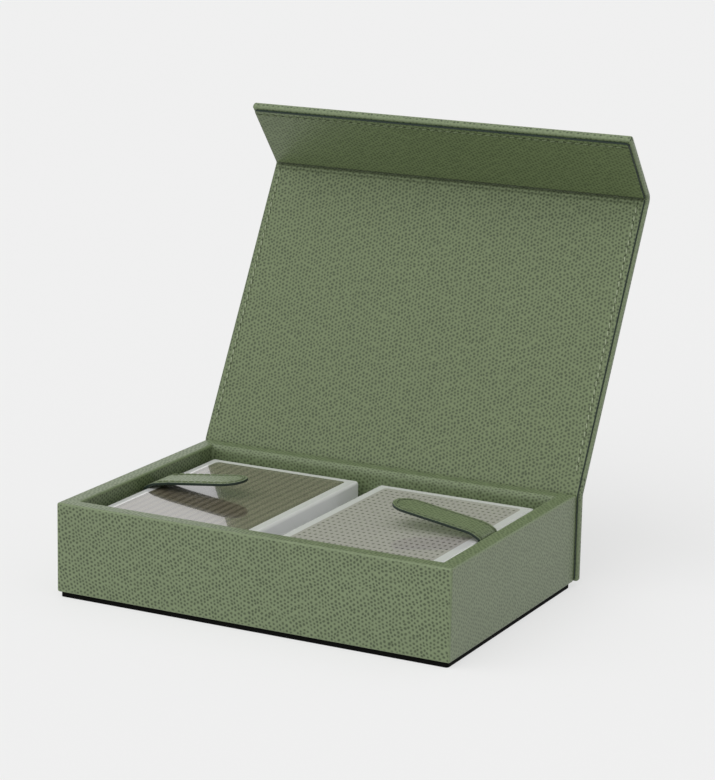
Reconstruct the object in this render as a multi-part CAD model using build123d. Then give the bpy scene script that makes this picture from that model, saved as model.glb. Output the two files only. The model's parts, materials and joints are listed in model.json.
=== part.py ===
"""Playing card holder: a leather-covered box with a book-style lid and a fold-over front flap.

The tray holds two boxed decks side by side. Each deck lies on a leather strap whose free end
comes up beside the deck and bends over it as a pull tab. A stiff cover runs from the spine on
the tray's back wall, over a leather hinge, along the lid and over a crease into the flap.

Frame: X to the right along the front, Y to the back, Z up. The origin is the centre of the
base plate's underside. Lengths are in millimetres and angles in degrees. The lid and the flap
are drawn as they stand open.
"""
import os
from functools import partial
from math import atan2, cos, pi, radians, sin, tan

from build123d import *

# Playing cards and their cartons
CARD_WIDTH = 63.5
CARD_LENGTH = 88.9
CARD_CORNER = 3.5
STACK_HEIGHT = 17.6
CARD_CLEARANCE = 0.1
STACK_HEADROOM = 1.1
CARTON = 0.4
CARTON_ROUND = 0.5

# How the two decks lie in the tray
DECK_GAP = 8.8
DECK_SHIFT = -0.8
DECK_FRONT_GAP = 0.4
DECK_REAR_GAP = 4.7
STRAP_CHANNEL = 4.1
RIM_ABOVE_DECKS = 4.0

# Tray walls and floor
WALL_BOARD = 4.7
WALL_LEATHER = 0.9
EDGE_ROUND = 0.9
BOTTOM_BOARD = 4.0
FLOOR_RISER = 4.3
FLOOR_LINING = 0.9
BASE_THICKNESS = 2.0
BASE_INSET = 1.0

# Stiff cover: spine, lid and flap
COVER_BOARD = 2.0
COVER_LEATHER = 0.8
COVER_LINING = 0.9
COVER_OVERHANG = 1.4
COVER_TURN = 1.6
LINING_MARGIN = 1.4
COVER_ROUND = 0.7
HINGE_SPAN = 8.5
HINGE_BEND = 2.5
HINGE_FOOT = 0.9
LID_REAR_OFFSET = 0.5
LID_CLEARANCE = 0.3
FLAP_CLEARANCE = 0.5
FLAP_BOTTOM_GAP = 3.8
CREASE_HALF = 1.6
CREASE_SLIT = 0.2
LID_OPEN = 118.3
FLAP_FOLD = 68.0

# Magnets that hold the flap to the front wall
MAGNET_DIAMETER = 10.0
WALL_MAGNET_THICKNESS = 2.0
MAGNET_SPREAD = 90.0
MAGNET_DROP = 17.0

# Straps and pull tabs
STRAP_WIDTH = 14.6
STRAP_PLY = 0.55
STRAP_INNER_STOP = 12.0
STRAP_OFFSET = -1.0
BEND_RADIUS = 3.0
BEND_DROP = 0.4
TAB_LENGTH = 35.5
TAB_RISE = 5.5

# Drawing limits: the share of a wall that a round may take, and how near is on a face
ROUND_SHARE = 0.45
NEAR = 0.01

# Carton sizes follow the cards
BOX_WIDTH = CARD_WIDTH + 2 * (CARD_CLEARANCE + CARTON)
BOX_LENGTH = CARD_LENGTH + 2 * (CARD_CLEARANCE + CARTON)
BOX_HEIGHT = STACK_HEIGHT + STACK_HEADROOM + 2 * CARTON
STRAP_THICKNESS = 2 * STRAP_PLY
BEND_TURN = 90 - TAB_RISE

# Tray sizes follow the cartons
WALL = WALL_BOARD + 2 * WALL_LEATHER
INNER_WIDTH = 2 * (BOX_WIDTH + STRAP_CHANNEL) + DECK_GAP
INNER_DEPTH = BOX_LENGTH + DECK_FRONT_GAP + DECK_REAR_GAP
TRAY_WIDTH = INNER_WIDTH + 2 * WALL
TRAY_DEPTH = INNER_DEPTH + 2 * WALL
LEATHER_BOTTOM = BASE_THICKNESS
FLOOR_TOP = LEATHER_BOTTOM + BOTTOM_BOARD + FLOOR_RISER + FLOOR_LINING
DECK_BOTTOM = FLOOR_TOP + STRAP_THICKNESS
DECK_TOP = DECK_BOTTOM + BOX_HEIGHT
RIM = DECK_TOP + RIM_ABOVE_DECKS
FRONT = -TRAY_DEPTH / 2
REAR = TRAY_DEPTH / 2

# Cover sizes follow the tray
COVER = COVER_BOARD + COVER_LEATHER + COVER_LINING
COVER_HALF = TRAY_WIDTH / 2 + COVER_OVERHANG
BOARD_HALF = COVER_HALF - COVER_TURN
LINING_HALF = COVER_HALF - LINING_MARGIN
LID_REACH = TRAY_DEPTH + LID_REAR_OFFSET + HINGE_SPAN + FLAP_CLEARANCE
FLAP_REACH = RIM + LID_CLEARANCE - LEATHER_BOTTOM - FLAP_BOTTOM_GAP
LID_END = LID_REACH - CREASE_HALF
LEAN = radians(LID_OPEN) - pi / 2
SPINE_TOP = RIM - (HINGE_BEND + COVER) * tan(abs(LEAN) / 2) - HINGE_FOOT


def block(x0, x1, y0, y1, z0, z1):
    """A box between two corners."""
    middle = Pos((x0 + x1) / 2, (y0 + y1) / 2, (z0 + z1) / 2)
    return middle * Box(x1 - x0, y1 - y0, z1 - z0)


def rounded(edges, radius, wall):
    """The edges' solid with them rounded, by no more than its wall can take."""
    return fillet(edges, min(radius, ROUND_SHARE * wall))


def edges_at(edges, axis, place):
    """Those of the edges that lie at one place on an axis."""
    return edges.filter_by_position(axis, place - NEAR, place + NEAR)


def across(outline, half):
    """A prism between -half and half on X, from an outline in Y and Z."""
    return extrude(Plane.YZ * outline, amount=half, both=True)


def between(first, second):
    """The face between two open curves that run the same way."""
    return make_face(Curve() + [first, second, Line(first @ 0, second @ 0), Line(first @ 1, second @ 1)])


def sector(point, inner, outer, turn):
    """The face between two radii, from a function that gives the point at a radius and a turn."""
    arcs = []
    for radius in (inner, outer):
        arcs.append(ThreePointArc(*[point(radius, share * turn) for share in (0, 0.5, 1)]))
    return between(*arcs)


# The lid's inner face starts at the tray's rear top edge and stands LID_OPEN from closed.
HINGE_LINE = Vector(0, REAR, RIM)
LID_DIRECTION = Vector(0, -cos(radians(LID_OPEN)), sin(radians(LID_OPEN)))
LID_INWARD = Vector(0, -LID_DIRECTION.Z, LID_DIRECTION.Y)
LID_PLANE = Plane(origin=HINGE_LINE, x_dir=(1, 0, 0), z_dir=LID_INWARD)
CREASE = HINGE_LINE + LID_DIRECTION * LID_REACH

# The flap folds inwards from the crease.
FOLD_COS = cos(radians(FLAP_FOLD))
FOLD_SIN = sin(radians(FLAP_FOLD))
FLAP_INWARD = LID_INWARD * FOLD_COS - LID_DIRECTION * FOLD_SIN
FLAP_PLANE = Plane(origin=CREASE, x_dir=(1, 0, 0), z_dir=FLAP_INWARD)


def lid_axis():
    """The (y, z) point about which the open lid turns down flat on the rim."""
    closed_y = REAR + LID_REAR_OFFSET + HINGE_SPAN
    closed_z = RIM + LID_CLEARANCE
    across_y = closed_y - REAR
    across_z = closed_z - RIM
    lift = 0.5 / tan(radians(LID_OPEN) / 2)
    return (
        REAR + across_y / 2 - across_z * lift,
        RIM + across_z / 2 + across_y * lift,
    )


def base_plate():
    """Black plate under the tray, set in from the leather."""
    half = TRAY_WIDTH / 2 - BASE_INSET
    return block(-half, half, FRONT + BASE_INSET, REAR - BASE_INSET, 0, BASE_THICKNESS)


def wall_boards():
    """Four wall boards, butted at the corners, as a name to solid table."""
    low = LEATHER_BOTTOM + WALL_LEATHER
    high = RIM - WALL_LEATHER
    out_x = TRAY_WIDTH / 2 - WALL_LEATHER
    out_y = TRAY_DEPTH / 2 - WALL_LEATHER
    in_x = out_x - WALL_BOARD
    in_y = out_y - WALL_BOARD
    boards = {
        "front_board": block(-out_x, out_x, -out_y, -in_y, low, high),
        "back_board": block(-out_x, out_x, in_y, out_y, low, high),
        "left_board": block(-out_x, -in_x, -in_y, in_y, low, high),
        "right_board": block(in_x, out_x, -in_y, in_y, low, high),
    }
    boards["front_board"] -= wall_magnets()
    return boards


def wall_magnets():
    """Two steel discs let into the front board, where the closed flap's magnets land."""
    outer = FRONT + WALL_LEATHER
    height = RIM + LID_CLEARANCE - MAGNET_DROP
    disc = Cylinder(
        MAGNET_DIAMETER / 2,
        WALL_MAGNET_THICKNESS,
        rotation=(90, 0, 0),
        align=(Align.CENTER, Align.CENTER, Align.MAX),
    )
    places = [Pos(side * MAGNET_SPREAD / 2, outer, height) for side in (-1, 1)]
    return [place * disc for place in places]


def bottom_board():
    """Board between the walls, level with the leather's lower edge."""
    half_x = INNER_WIDTH / 2 + WALL_LEATHER
    half_y = INNER_DEPTH / 2 + WALL_LEATHER
    top = LEATHER_BOTTOM + BOTTOM_BOARD
    return block(-half_x, half_x, -half_y, half_y, LEATHER_BOTTOM, top)


def floor_layer(low, thickness):
    """One layer that fills the tray's inside."""
    half_x = INNER_WIDTH / 2
    half_y = INNER_DEPTH / 2
    return block(-half_x, half_x, -half_y, half_y, low, low + thickness)


def wall_leather_ring():
    """Leather round the four walls: under them, up outside, over the rim and down inside."""
    half_x = TRAY_WIDTH / 2
    ring = block(-half_x, half_x, FRONT, REAR, LEATHER_BOTTOM, RIM)
    ring = rounded(ring.edges().filter_by(Axis.Z), EDGE_ROUND, WALL)
    ring -= floor_layer(LEATHER_BOTTOM + BOTTOM_BOARD, RIM - LEATHER_BOTTOM)
    ring = rounded(edges_at(ring.edges(), Axis.Z, RIM), EDGE_ROUND, WALL)
    for board in wall_boards().values():
        ring -= board
    ring -= wall_magnets()
    return ring - bottom_board()


def wall_leathers():
    """The leather ring cut at its mitred corners, as a name to solid table."""
    ring = wall_leather_ring()
    out_x = TRAY_WIDTH / 2
    in_x = INNER_WIDTH / 2
    in_y = INNER_DEPTH / 2
    corners = {
        "front_leather": [(-out_x, FRONT), (out_x, FRONT), (in_x, -in_y), (-in_x, -in_y)],
        "right_leather": [(out_x, FRONT), (out_x, REAR), (in_x, in_y), (in_x, -in_y)],
        "back_leather": [(out_x, REAR), (-out_x, REAR), (-in_x, in_y), (in_x, in_y)],
        "left_leather": [(-out_x, REAR), (-out_x, FRONT), (-in_x, -in_y), (-in_x, in_y)],
    }
    leathers = {}
    for name, points in corners.items():
        wall = extrude(make_face(Polyline(*points, close=True)), amount=RIM)
        leathers[name] = ring & wall
    return leathers


def spine_board():
    """Stiff board of the spine, behind the tray's back wall."""
    inner = REAR + COVER_LINING
    low = LEATHER_BOTTOM + COVER_TURN
    return block(-BOARD_HALF, BOARD_HALF, inner, inner + COVER_BOARD, low, SPINE_TOP)


def spine_leather():
    """Cover leather round the spine's back, lower edge and side edges."""
    inner = REAR + COVER_LINING
    outer = REAR + COVER
    wrap = block(-COVER_HALF, COVER_HALF, inner, outer, LEATHER_BOTTOM, SPINE_TOP)
    back_edges = edges_at(wrap.edges(), Axis.Y, outer)
    back_edges -= edges_at(back_edges, Axis.Z, SPINE_TOP)
    wrap = rounded(back_edges, COVER_ROUND, COVER_BOARD + COVER_LEATHER)
    return wrap - spine_board()


def spine_lining():
    """Lining leather between the spine and the tray's back wall."""
    low = LEATHER_BOTTOM + LINING_MARGIN
    return block(-LINING_HALF, LINING_HALF, REAR, REAR + COVER_LINING, low, SPINE_TOP)


def hinge_point(along, depth):
    """A (y, z) point on the lid's line, depth behind its inner face."""
    point = HINGE_LINE + LID_DIRECTION * along - LID_INWARD * depth
    return (point.Y, point.Z)


def hinge_curve(depth):
    """The hinge's line at one depth: up the spine, round the bend and along the lid."""
    start = (REAR + depth, SPINE_TOP)
    corner = (REAR + depth, RIM - depth * tan(LEAN / 2))
    radius = HINGE_BEND + (COVER - depth if LEAN > 0 else depth)
    return FilletPolyline(start, corner, hinge_point(HINGE_SPAN, depth), radius=radius)


def hinge_ply(inner, outer):
    """The face between two depths of the hinge."""
    return between(hinge_curve(inner), hinge_curve(outer))


def hinge_lining():
    """Lining leather across the hinge, on the side that shows when the lid is open."""
    return across(hinge_ply(0, COVER_LINING), LINING_HALF)


def hinge_leather():
    """Cover leather across the hinge, turned over at both ends."""
    skin = across(hinge_ply(COVER - COVER_LEATHER, COVER), COVER_HALF)
    filling = hinge_ply(COVER_LINING, COVER)
    turned = across(filling, COVER_HALF) - across(filling, BOARD_HALF)
    return skin + turned


def panel(half, start, end, top, bottom):
    """A slab of the flat cover: X by distance along the cover, below its inner face."""
    return block(-half, half, start, end, -bottom, -top)


def cover_leather(start, end, closed_end):
    """Cover leather on one panel's outside, turned over its side edges and its closed end."""
    inner = COVER_LINING
    wrap = panel(COVER_HALF, start, end, inner, COVER)
    edges = edges_at(wrap.edges(), Axis.Z, -COVER)
    edges -= edges_at(edges, Axis.Y, start)
    if not closed_end:
        edges -= edges_at(edges, Axis.Y, end)
    wrap = rounded(edges, COVER_ROUND, COVER_BOARD + COVER_LEATHER)
    board_end = end - COVER_TURN if closed_end else end
    return wrap - panel(BOARD_HALF, start, board_end, inner, inner + COVER_BOARD)


def lid_pieces():
    """The lid's board, cover leather and lining, as a name to solid table."""
    inner = COVER_LINING
    flat = {
        "lid_board": panel(BOARD_HALF, HINGE_SPAN, LID_END, inner, inner + COVER_BOARD),
        "lid_leather": cover_leather(HINGE_SPAN, LID_END, closed_end=False),
        "lid_lining": panel(LINING_HALF, HINGE_SPAN, LID_REACH - CREASE_SLIT, 0, inner),
    }
    return {name: LID_PLANE * solid for name, solid in flat.items()}


def flap_magnets():
    """Two magnets let through the flap's board, on the flat flap."""
    disc = Cylinder(
        MAGNET_DIAMETER / 2,
        COVER_BOARD,
        align=(Align.CENTER, Align.CENTER, Align.MAX),
    )
    places = [Pos(side * MAGNET_SPREAD / 2, MAGNET_DROP, -COVER_LINING) for side in (-1, 1)]
    return [place * disc for place in places]


def flap_pieces():
    """The flap's board, magnets, cover leather and lining, as a name to solid table."""
    inner = COVER_LINING
    tip = FLAP_REACH + LINING_MARGIN
    board = panel(BOARD_HALF, CREASE_HALF, tip - COVER_TURN, inner, inner + COVER_BOARD)
    flat = {
        "flap_board": board - flap_magnets(),
        "flap_magnets": Compound(children=flap_magnets()),
        "flap_leather": cover_leather(CREASE_HALF, tip, closed_end=True),
        "flap_lining": panel(LINING_HALF, CREASE_SLIT, FLAP_REACH, 0, inner),
    }
    return {name: FLAP_PLANE * solid for name, solid in flat.items()}


def crease_point(radius, turn):
    """A (y, z) point round the crease, turn degrees from the lid's outside to the flap's."""
    angle = atan2(-LID_INWARD.Z, -LID_INWARD.Y) + radians(turn)
    return (CREASE.Y + radius * cos(angle), CREASE.Z + radius * sin(angle))


def crease_fill(half, inner):
    """The crease's outside from one depth to the cover's outer face."""
    fold = across(sector(crease_point, inner, COVER, FLAP_FOLD), half)
    on_lid = LID_PLANE * panel(half, LID_END, LID_REACH, inner, COVER)
    on_flap = FLAP_PLANE * panel(half, 0, CREASE_HALF, inner, COVER)
    return fold + on_lid + on_flap


def crease_leather():
    """Cover leather round the outside of the crease, turned over at both ends."""
    skin = crease_fill(COVER_HALF, COVER - COVER_LEATHER)
    turned = crease_fill(COVER_HALF, COVER_LINING) - crease_fill(BOARD_HALF, COVER_LINING)
    return skin + turned


def deck_sides(side):
    """The carton's inner and outer X for the left (-1) or right (1) deck."""
    inner = side * DECK_GAP / 2 + DECK_SHIFT
    return inner, inner + side * BOX_WIDTH


def deck_box(side):
    """Closed carton of one deck."""
    x0, x1 = sorted(deck_sides(side))
    front = -INNER_DEPTH / 2 + DECK_FRONT_GAP
    outside = block(x0, x1, front, front + BOX_LENGTH, DECK_BOTTOM, DECK_TOP)
    outside = rounded(outside.edges(), CARTON_ROUND, BOX_HEIGHT)
    inside = block(
        x0 + CARTON,
        x1 - CARTON,
        front + CARTON,
        front + BOX_LENGTH - CARTON,
        DECK_BOTTOM + CARTON,
        DECK_TOP - CARTON,
    )
    return outside - inside


def deck_cards(side):
    """The stack of cards in one carton."""
    x0, x1 = sorted(deck_sides(side))
    rim = CARTON + CARD_CLEARANCE
    front = -INNER_DEPTH / 2 + DECK_FRONT_GAP + rim
    low = DECK_BOTTOM + CARTON
    stack = block(x0 + rim, x1 - rim, front, front + CARD_LENGTH, low, low + STACK_HEIGHT)
    return rounded(stack.edges().filter_by(Axis.Z), CARD_CORNER, CARD_WIDTH)


def across_strap(outline):
    """A strap piece from its (x, z) outline, STRAP_WIDTH wide on Y."""
    slab = extrude(Plane.XZ * outline, amount=STRAP_WIDTH / 2, both=True)
    return Pos(0, STRAP_OFFSET, 0) * slab


def strap(side):
    """The strap under one deck and up its outer side."""
    inner, outer = deck_sides(side)
    stop = inner + side * STRAP_INNER_STOP
    edge = outer + side * STRAP_THICKNESS
    bend_z = DECK_TOP - BEND_DROP
    outline = Polyline(
        (stop, FLOOR_TOP),
        (edge, FLOOR_TOP),
        (edge, bend_z),
        (outer, bend_z),
        (outer, DECK_BOTTOM),
        (stop, DECK_BOTTOM),
        close=True,
    )
    return across_strap(make_face(outline))


def bend_centre(side):
    """The (x, z) centre of the strap's bend over the deck's outer top edge."""
    return deck_sides(side)[1] - side * BEND_RADIUS, DECK_TOP - BEND_DROP


def bend_point(side, radius, turn):
    """A point of the bend, turn degrees round from upright."""
    x, z = bend_centre(side)
    return (x + side * radius * cos(radians(turn)), z + radius * sin(radians(turn)))


def strap_bend(side):
    """The bent stretch between the strap and its tab."""
    point = partial(bend_point, side)
    return across_strap(sector(point, BEND_RADIUS, BEND_RADIUS + STRAP_THICKNESS, BEND_TURN))


def tab_ply(side, depth):
    """One leather ply of a pull tab, with its rounded tip, depth above the tab's underside."""
    x, z = bend_point(side, BEND_RADIUS + depth, BEND_TURN)
    straight = TAB_LENGTH - STRAP_WIDTH / 2
    shank = Pos(straight / 2, 0) * Rectangle(straight, STRAP_WIDTH)
    tip = Pos(straight, 0) * Circle(STRAP_WIDTH / 2)
    ply = extrude(shank + tip, amount=STRAP_PLY)
    heading = Vector(-side * cos(radians(TAB_RISE)), 0, sin(radians(TAB_RISE)))
    above = Vector(side * sin(radians(TAB_RISE)), 0, cos(radians(TAB_RISE)))
    seat = Plane(origin=(x, STRAP_OFFSET, z), x_dir=heading, z_dir=above)
    return seat * ply


def tab_axis(side):
    """The (x, z) point that a lifted tab turns about, in the middle of the bend."""
    return bend_point(side, BEND_RADIUS + STRAP_PLY, BEND_TURN / 2)


def deck_pieces():
    """Cartons, cards, straps and tabs of both decks, as a name to solid table."""
    pieces = {}
    for name, side in (("left", -1), ("right", 1)):
        pieces[name + "_box"] = deck_box(side)
        pieces[name + "_cards"] = deck_cards(side)
        pieces[name + "_strap"] = strap(side)
        pieces[name + "_strap_bend"] = strap_bend(side)
        pieces[name + "_tab_backing"] = tab_ply(side, 0)
        pieces[name + "_tab"] = tab_ply(side, STRAP_PLY)
    return pieces


def holder():
    """Every piece of the card holder, as a node name to shape table."""
    riser_low = LEATHER_BOTTOM + BOTTOM_BOARD
    pieces = {
        "base_plate": base_plate(),
        "bottom_board": bottom_board(),
        "floor_riser": floor_layer(riser_low, FLOOR_RISER),
        "floor_lining": floor_layer(riser_low + FLOOR_RISER, FLOOR_LINING),
        "wall_magnets": Compound(children=wall_magnets()),
        "spine_board": spine_board(),
        "spine_leather": spine_leather(),
        "spine_lining": spine_lining(),
        "hinge_leather": hinge_leather(),
        "hinge_lining": hinge_lining(),
        "crease_leather": crease_leather(),
    }
    pieces.update(wall_boards())
    pieces.update(wall_leathers())
    pieces.update(lid_pieces())
    pieces.update(flap_pieces())
    pieces.update(deck_pieces())
    return pieces


os.makedirs("parts", exist_ok=True)
for node, shape in holder().items():
    export_step(shape, f"parts/{node}.step")

axis_y, axis_z = lid_axis()
print(f"tray {TRAY_WIDTH:.2f} x {TRAY_DEPTH:.2f}, rim at {RIM:.2f}")
print(f"lid axis y {axis_y:.3f} z {axis_z:.3f}")
print(f"flap axis y {CREASE.Y:.3f} z {CREASE.Z:.3f}")
for name, side in (("left", -1), ("right", 1)):
    tab_x, tab_z = tab_axis(side)
    print(f"{name} tab axis x {tab_x:.3f} z {tab_z:.3f}")
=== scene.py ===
"""Looks of the playing card holder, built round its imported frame.

The sections follow the object as it is put together: base plate, tray, spine, hinge, lid, crease,
flap, cartons, straps with their pull tabs, and then the studio. Lengths are in metres.
"""
import json
from math import atan2, cos, pi, radians, sin, sqrt, tan

import bmesh
import bpy
from mathutils import Matrix, Vector


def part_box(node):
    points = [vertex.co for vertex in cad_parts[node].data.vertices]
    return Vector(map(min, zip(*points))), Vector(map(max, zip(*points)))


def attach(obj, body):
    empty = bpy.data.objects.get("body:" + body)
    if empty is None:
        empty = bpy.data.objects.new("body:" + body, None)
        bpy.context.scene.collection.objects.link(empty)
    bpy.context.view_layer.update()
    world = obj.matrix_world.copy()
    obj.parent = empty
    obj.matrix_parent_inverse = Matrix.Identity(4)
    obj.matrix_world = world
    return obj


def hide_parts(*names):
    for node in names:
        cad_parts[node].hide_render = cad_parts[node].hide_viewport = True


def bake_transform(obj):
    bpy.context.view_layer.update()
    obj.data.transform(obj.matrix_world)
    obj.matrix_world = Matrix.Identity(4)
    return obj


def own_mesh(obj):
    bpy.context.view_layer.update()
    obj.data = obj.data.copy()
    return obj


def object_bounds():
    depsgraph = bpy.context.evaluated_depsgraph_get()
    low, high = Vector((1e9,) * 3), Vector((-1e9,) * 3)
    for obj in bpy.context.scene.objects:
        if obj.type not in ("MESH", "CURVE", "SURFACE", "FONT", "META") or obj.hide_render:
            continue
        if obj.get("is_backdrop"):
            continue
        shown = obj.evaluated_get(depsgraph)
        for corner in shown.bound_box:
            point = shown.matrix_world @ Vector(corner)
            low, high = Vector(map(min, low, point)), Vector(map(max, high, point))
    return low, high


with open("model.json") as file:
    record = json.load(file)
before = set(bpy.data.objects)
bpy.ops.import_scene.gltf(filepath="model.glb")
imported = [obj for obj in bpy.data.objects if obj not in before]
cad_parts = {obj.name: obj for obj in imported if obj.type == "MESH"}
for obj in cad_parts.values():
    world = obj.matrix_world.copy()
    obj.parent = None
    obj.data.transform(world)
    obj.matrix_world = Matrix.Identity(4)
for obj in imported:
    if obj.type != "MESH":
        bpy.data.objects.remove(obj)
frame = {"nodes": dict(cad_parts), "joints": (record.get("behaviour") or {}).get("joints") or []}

cad_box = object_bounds()
MM = 0.001

# Base plate: a thin black card under the tray, set in from the leather all round.
# It is cut from dyed board with softened corners and glued on, so only its matt edge shows.


class Wire:
    """One output of a shader node: arithmetic on it adds Math nodes to the same tree."""

    def __init__(self, tree, socket=None):
        self.tree = tree
        self.socket = socket

    def node(self, kind, settings=(), inputs=(), output=0):
        """Adds a node. Its settings are set first, then the values or wires of its sockets."""
        added = self.tree.nodes.new("ShaderNode" + kind)
        for name, value in dict(settings).items():
            setattr(added, name, value)
        for name, value in dict(inputs).items():
            if isinstance(value, Wire):
                self.tree.links.new(value.socket, added.inputs[name])
            else:
                added.inputs[name].default_value = value
        return Wire(self.tree, added.outputs[output])

    def maths(self, operation, *values):
        return self.node("Math", {"operation": operation}, enumerate(values))

    def vector(self, operation, *values, output="Vector"):
        return self.node("VectorMath", {"operation": operation}, enumerate(values), output)

    def __add__(self, other):
        return self.maths("ADD", self, other)

    def __radd__(self, other):
        return self.maths("ADD", other, self)

    def __sub__(self, other):
        return self.maths("SUBTRACT", self, other)

    def __rsub__(self, other):
        return self.maths("SUBTRACT", other, self)

    def __mul__(self, other):
        return self.maths("MULTIPLY", self, other)

    def __rmul__(self, other):
        return self.maths("MULTIPLY", other, self)

    def __truediv__(self, other):
        return self.maths("DIVIDE", self, other)

    def __abs__(self):
        return self.maths("ABSOLUTE", self)

    def root(self):
        return self.maths("SQRT", self)

    def fraction(self):
        return self.maths("FRACT", self)

    def least(self, other):
        return self.maths("MINIMUM", self, other)

    def most(self, other):
        return self.maths("MAXIMUM", self, other)

    def rise(self, low, high):
        """0 below low, 1 above high and a smooth step between them."""
        settings = {"interpolation_type": "SMOOTHSTEP"}
        return self.node("MapRange", settings, {"Value": self, "From Min": low, "From Max": high})

    def blend(self, first, second):
        """The first colour where this wire is 0 and the second where it is 1."""
        return self.node("Mix", {"data_type": "RGBA"}, {0: self, 6: first, 7: second}, 2)

    def noise(self, vector, size, detail=2.0, dimensions="3D", output="Fac"):
        """Cloudy noise about 0.5, with patches of one size in metres."""
        inputs = {"Vector": vector, "Scale": 1 / size, "Detail": detail}
        return self.node("TexNoise", {"noise_dimensions": dimensions}, inputs, output)

    def axes(self):
        """The three numbers of a vector."""
        split = self.node("SeparateXYZ", (), {"Vector": self}).socket.node
        return [Wire(self.tree, socket) for socket in split.outputs]


def display(red, green, blue):
    """A colour as a screen shows it, 0 to 255, in the linear values that shaders take."""
    channels = [channel / 255 for channel in (red, green, blue)]
    return [c / 12.92 if c < 0.04045 else ((c + 0.055) / 1.055) ** 2.4 for c in channels] + [1.0]


def new_finish(name, **constants):
    """A material with one bare shader: returns it, a wire to start from and a way to feed sockets."""
    finish = bpy.data.materials.new(name)
    finish.use_nodes = True
    tree = finish.node_tree
    shader = tree.nodes["Principled BSDF"]
    for socket, value in constants.items():
        shader.inputs[socket.replace("_", " ")].default_value = value

    def feed(socket, wire):
        tree.links.new(wire.socket, shader.inputs[socket])

    return finish, Wire(tree), feed


def relief(wire, feed, height, depth):
    """Feeds the shader's normal from a height of 0 to 1, depth metres tall."""
    feed("Normal", wire.node("Bump", (), {"Strength": 1.0, "Distance": depth, "Height": height}))


def start_block(name, low, high):
    """A block between two corners, left in edit mode with nothing selected."""
    low = Vector(low)
    high = Vector(high)
    if bpy.context.object and bpy.context.object.mode != "OBJECT":
        bpy.ops.object.mode_set(mode="OBJECT")
    bpy.ops.object.select_all(action="DESELECT")
    bpy.ops.mesh.primitive_cube_add(size=1, location=(low + high) / 2, scale=high - low)
    bpy.ops.object.transform_apply(location=True, rotation=True, scale=True)
    piece = bpy.context.object
    piece.name = name
    piece.data.name = name
    bpy.ops.object.mode_set(mode="EDIT")
    bpy.ops.mesh.select_all(action="DESELECT")
    return piece


def middle(part):
    """The middle of a face's or an edge's corners."""
    return sum((corner.co for corner in part.verts), Vector()) / len(part.verts)


def runs(edge, axis):
    """Whether an edge runs along one axis, 0 to 2."""
    along = (edge.verts[1].co - edge.verts[0].co).normalized()
    return abs(along[axis]) > STRAIGHT


def pick(piece, kind, test):
    """Selects those edges or faces of the piece in edit mode that pass a test."""
    bpy.ops.mesh.select_mode(type="FACE" if kind == "faces" else "EDGE")
    bpy.ops.mesh.select_all(action="DESELECT")
    skin = bmesh.from_edit_mesh(piece.data)
    skin.normal_update()
    for part in getattr(skin, kind):
        if test(part):
            part.select_set(True)
    bmesh.update_edit_mesh(piece.data)


def round_edges(piece, test, radius, segments=3):
    """Bevels the edges that pass a test to a round."""
    pick(piece, "edges", test)
    bpy.ops.mesh.bevel(offset=radius, segments=segments, affect="EDGES", profile=0.5)


def done(piece, *finishes):
    """Welds doubled corners, leaves edit mode, shades rounds smooth and flats flat, adds finishes."""
    bpy.ops.mesh.select_all(action="SELECT")
    bpy.ops.mesh.remove_doubles(threshold=WELD)
    bpy.ops.object.mode_set(mode="OBJECT")
    bpy.ops.object.shade_smooth_by_angle(angle=SMOOTH_ANGLE)
    flats = piece.modifiers.new("flats", "WEIGHTED_NORMAL")
    flats.keep_sharp = True
    bpy.ops.object.modifier_apply(modifier=flats.name)
    for finish in finishes:
        piece.data.materials.append(finish)
    return piece


def black_card():
    """Matt black board with a faint fibre."""
    finish, wire, feed = new_finish("black_card", Specular_IOR_Level=0.05)
    place = wire.node("TexCoord", output="Object")
    fibre = wire.noise(place, size=0.4 * MM, detail=4)
    feed("Base Color", fibre.blend(display(8, 8, 8), display(18, 18, 17)))
    feed("Roughness", 0.62 + 0.25 * fibre)
    relief(wire, feed, fibre, depth=0.03 * MM)
    return finish


NEAR = 0.05 * MM
WELD = 0.001 * MM
STRAIGHT = 0.99
FACING = 0.9
SMOOTH_ANGLE = radians(50)
BASE_CORNER = 1.2 * MM
BASE_EDGE = 0.2 * MM


def is_level(edge):
    """Whether both ends of an edge stand at one height."""
    return abs(edge.verts[0].co.z - edge.verts[1].co.z) < NEAR


base = start_block("base_card", *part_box("base_plate"))
round_edges(base, lambda edge: runs(edge, 2), BASE_CORNER, segments=4)
round_edges(base, is_level, BASE_EDGE, segments=2)
done(base, black_card())
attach(base, "tray")
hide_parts("base_plate")

# Boards inside the tray: four wall boards, a bottom and a raised floor, all of raw fibreboard.
# They are sawn and glued up before the leather goes on, and show nowhere on the finished box.


def fibreboard():
    """Raw brown board of pressed fibres, sawn at the edges."""
    finish, wire, feed = new_finish("fibreboard")
    place = wire.node("TexCoord", output="Object")
    stretched = wire.node("Mapping", (), {"Vector": place, "Scale": (1.0, 1.0, 3.0)})
    fibre = wire.noise(stretched, size=0.6 * MM, detail=6)
    cloud = wire.noise(place, size=9 * MM, detail=3)
    feed("Base Color", (0.7 * fibre + 0.3 * cloud).blend(display(128, 100, 70), display(186, 158, 122)))
    feed("Roughness", 0.75 + 0.2 * fibre)
    relief(wire, feed, fibre, depth=0.08 * MM)
    return finish


def coat(finish, *nodes):
    """Puts a finish on carried-over CAD nodes."""
    for name in nodes:
        slots = frame["nodes"][name].data.materials
        slots.clear()
        slots.append(finish)


WALLS = ("front", "back", "left", "right")
coat(fibreboard(), "bottom_board", "floor_riser", *[wall + "_board" for wall in WALLS])

# Steel discs let into the front board, where the closed flap's magnets land.
# Turned from nickel-plated steel and hidden under the leather.


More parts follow.
